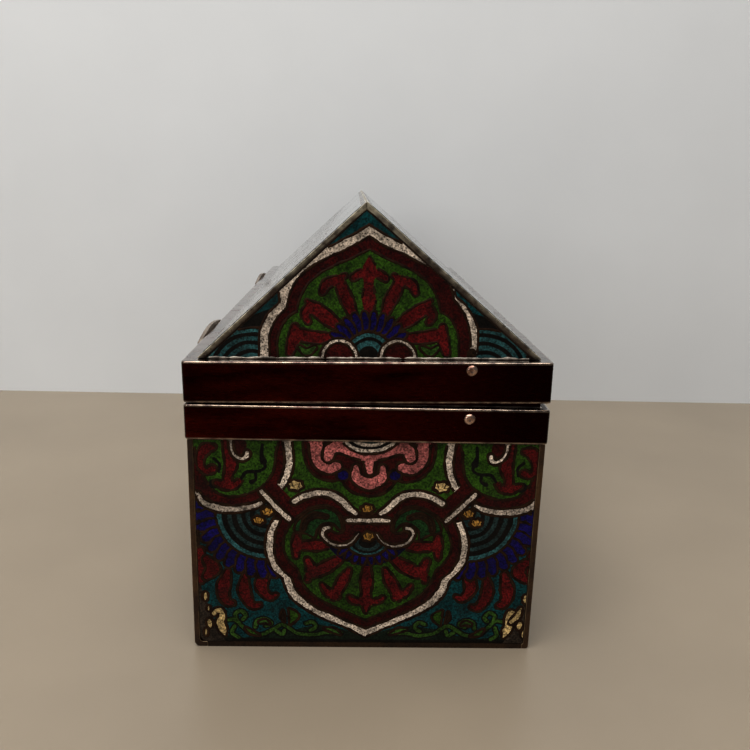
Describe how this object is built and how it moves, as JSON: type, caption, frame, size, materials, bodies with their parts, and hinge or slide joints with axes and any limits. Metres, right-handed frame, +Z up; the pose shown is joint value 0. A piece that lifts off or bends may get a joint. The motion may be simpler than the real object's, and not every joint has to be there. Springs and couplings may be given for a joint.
{
  "type": "enamel box",
  "caption": "Long rectangular cloisonne enamel casket with a roof-shaped lid hinged along one long side, bronze rim bands and framed enamel panels.",
  "frame": {"origin": "on the ground under the middle of the box body, on the base plate's underside", "axes": "+Z up, +Y along the box away from the front gable end, +X across it; the lid's hinges are on the -X long side"},
  "size_m": [0.1147, 0.2511, 0.1418],
  "materials": {
    "enamel_plate": "copper plate under cloisonne enamel, dark wires, pitted gloss",
    "dark_bronze": "red-brown patinated bronze with worn edges",
    "bare_bronze": "plain aged bronze",
    "worn_copper": "rubbed copper"
  },
  "bodies": {
    "box_body": {"base_plate": "bare_bronze", "body_left_wall": "enamel_plate", "body_right_wall": "enamel_plate", "body_front_plaque": "enamel_plate", "body_back_plaque": "enamel_plate", "body_rim_band": "dark_bronze", "body_rivet": "worn_copper", "front_hinge_body_leaf": "bare_bronze", "front_hinge_pin": "bare_bronze", "back_hinge_body_leaf": "bare_bronze", "back_hinge_pin": "bare_bronze"},
    "lid": {"lid_rim_band": "dark_bronze", "lid_left_slope": "enamel_plate", "lid_right_slope": "enamel_plate", "lid_front_gable": "enamel_plate", "lid_back_gable": "enamel_plate", "lid_rivet": "worn_copper", "front_hinge_lid_leaf": "bare_bronze", "back_hinge_lid_leaf": "bare_bronze"}
  },
  "joints": [
    {"name": "lid_hinge", "type": "hinge", "parent": "box_body", "child": "lid", "pos_m": [-0.0575, 0, 0.0822], "axis": [0, -1, 0], "range_deg": [0, 95]}
  ]
}
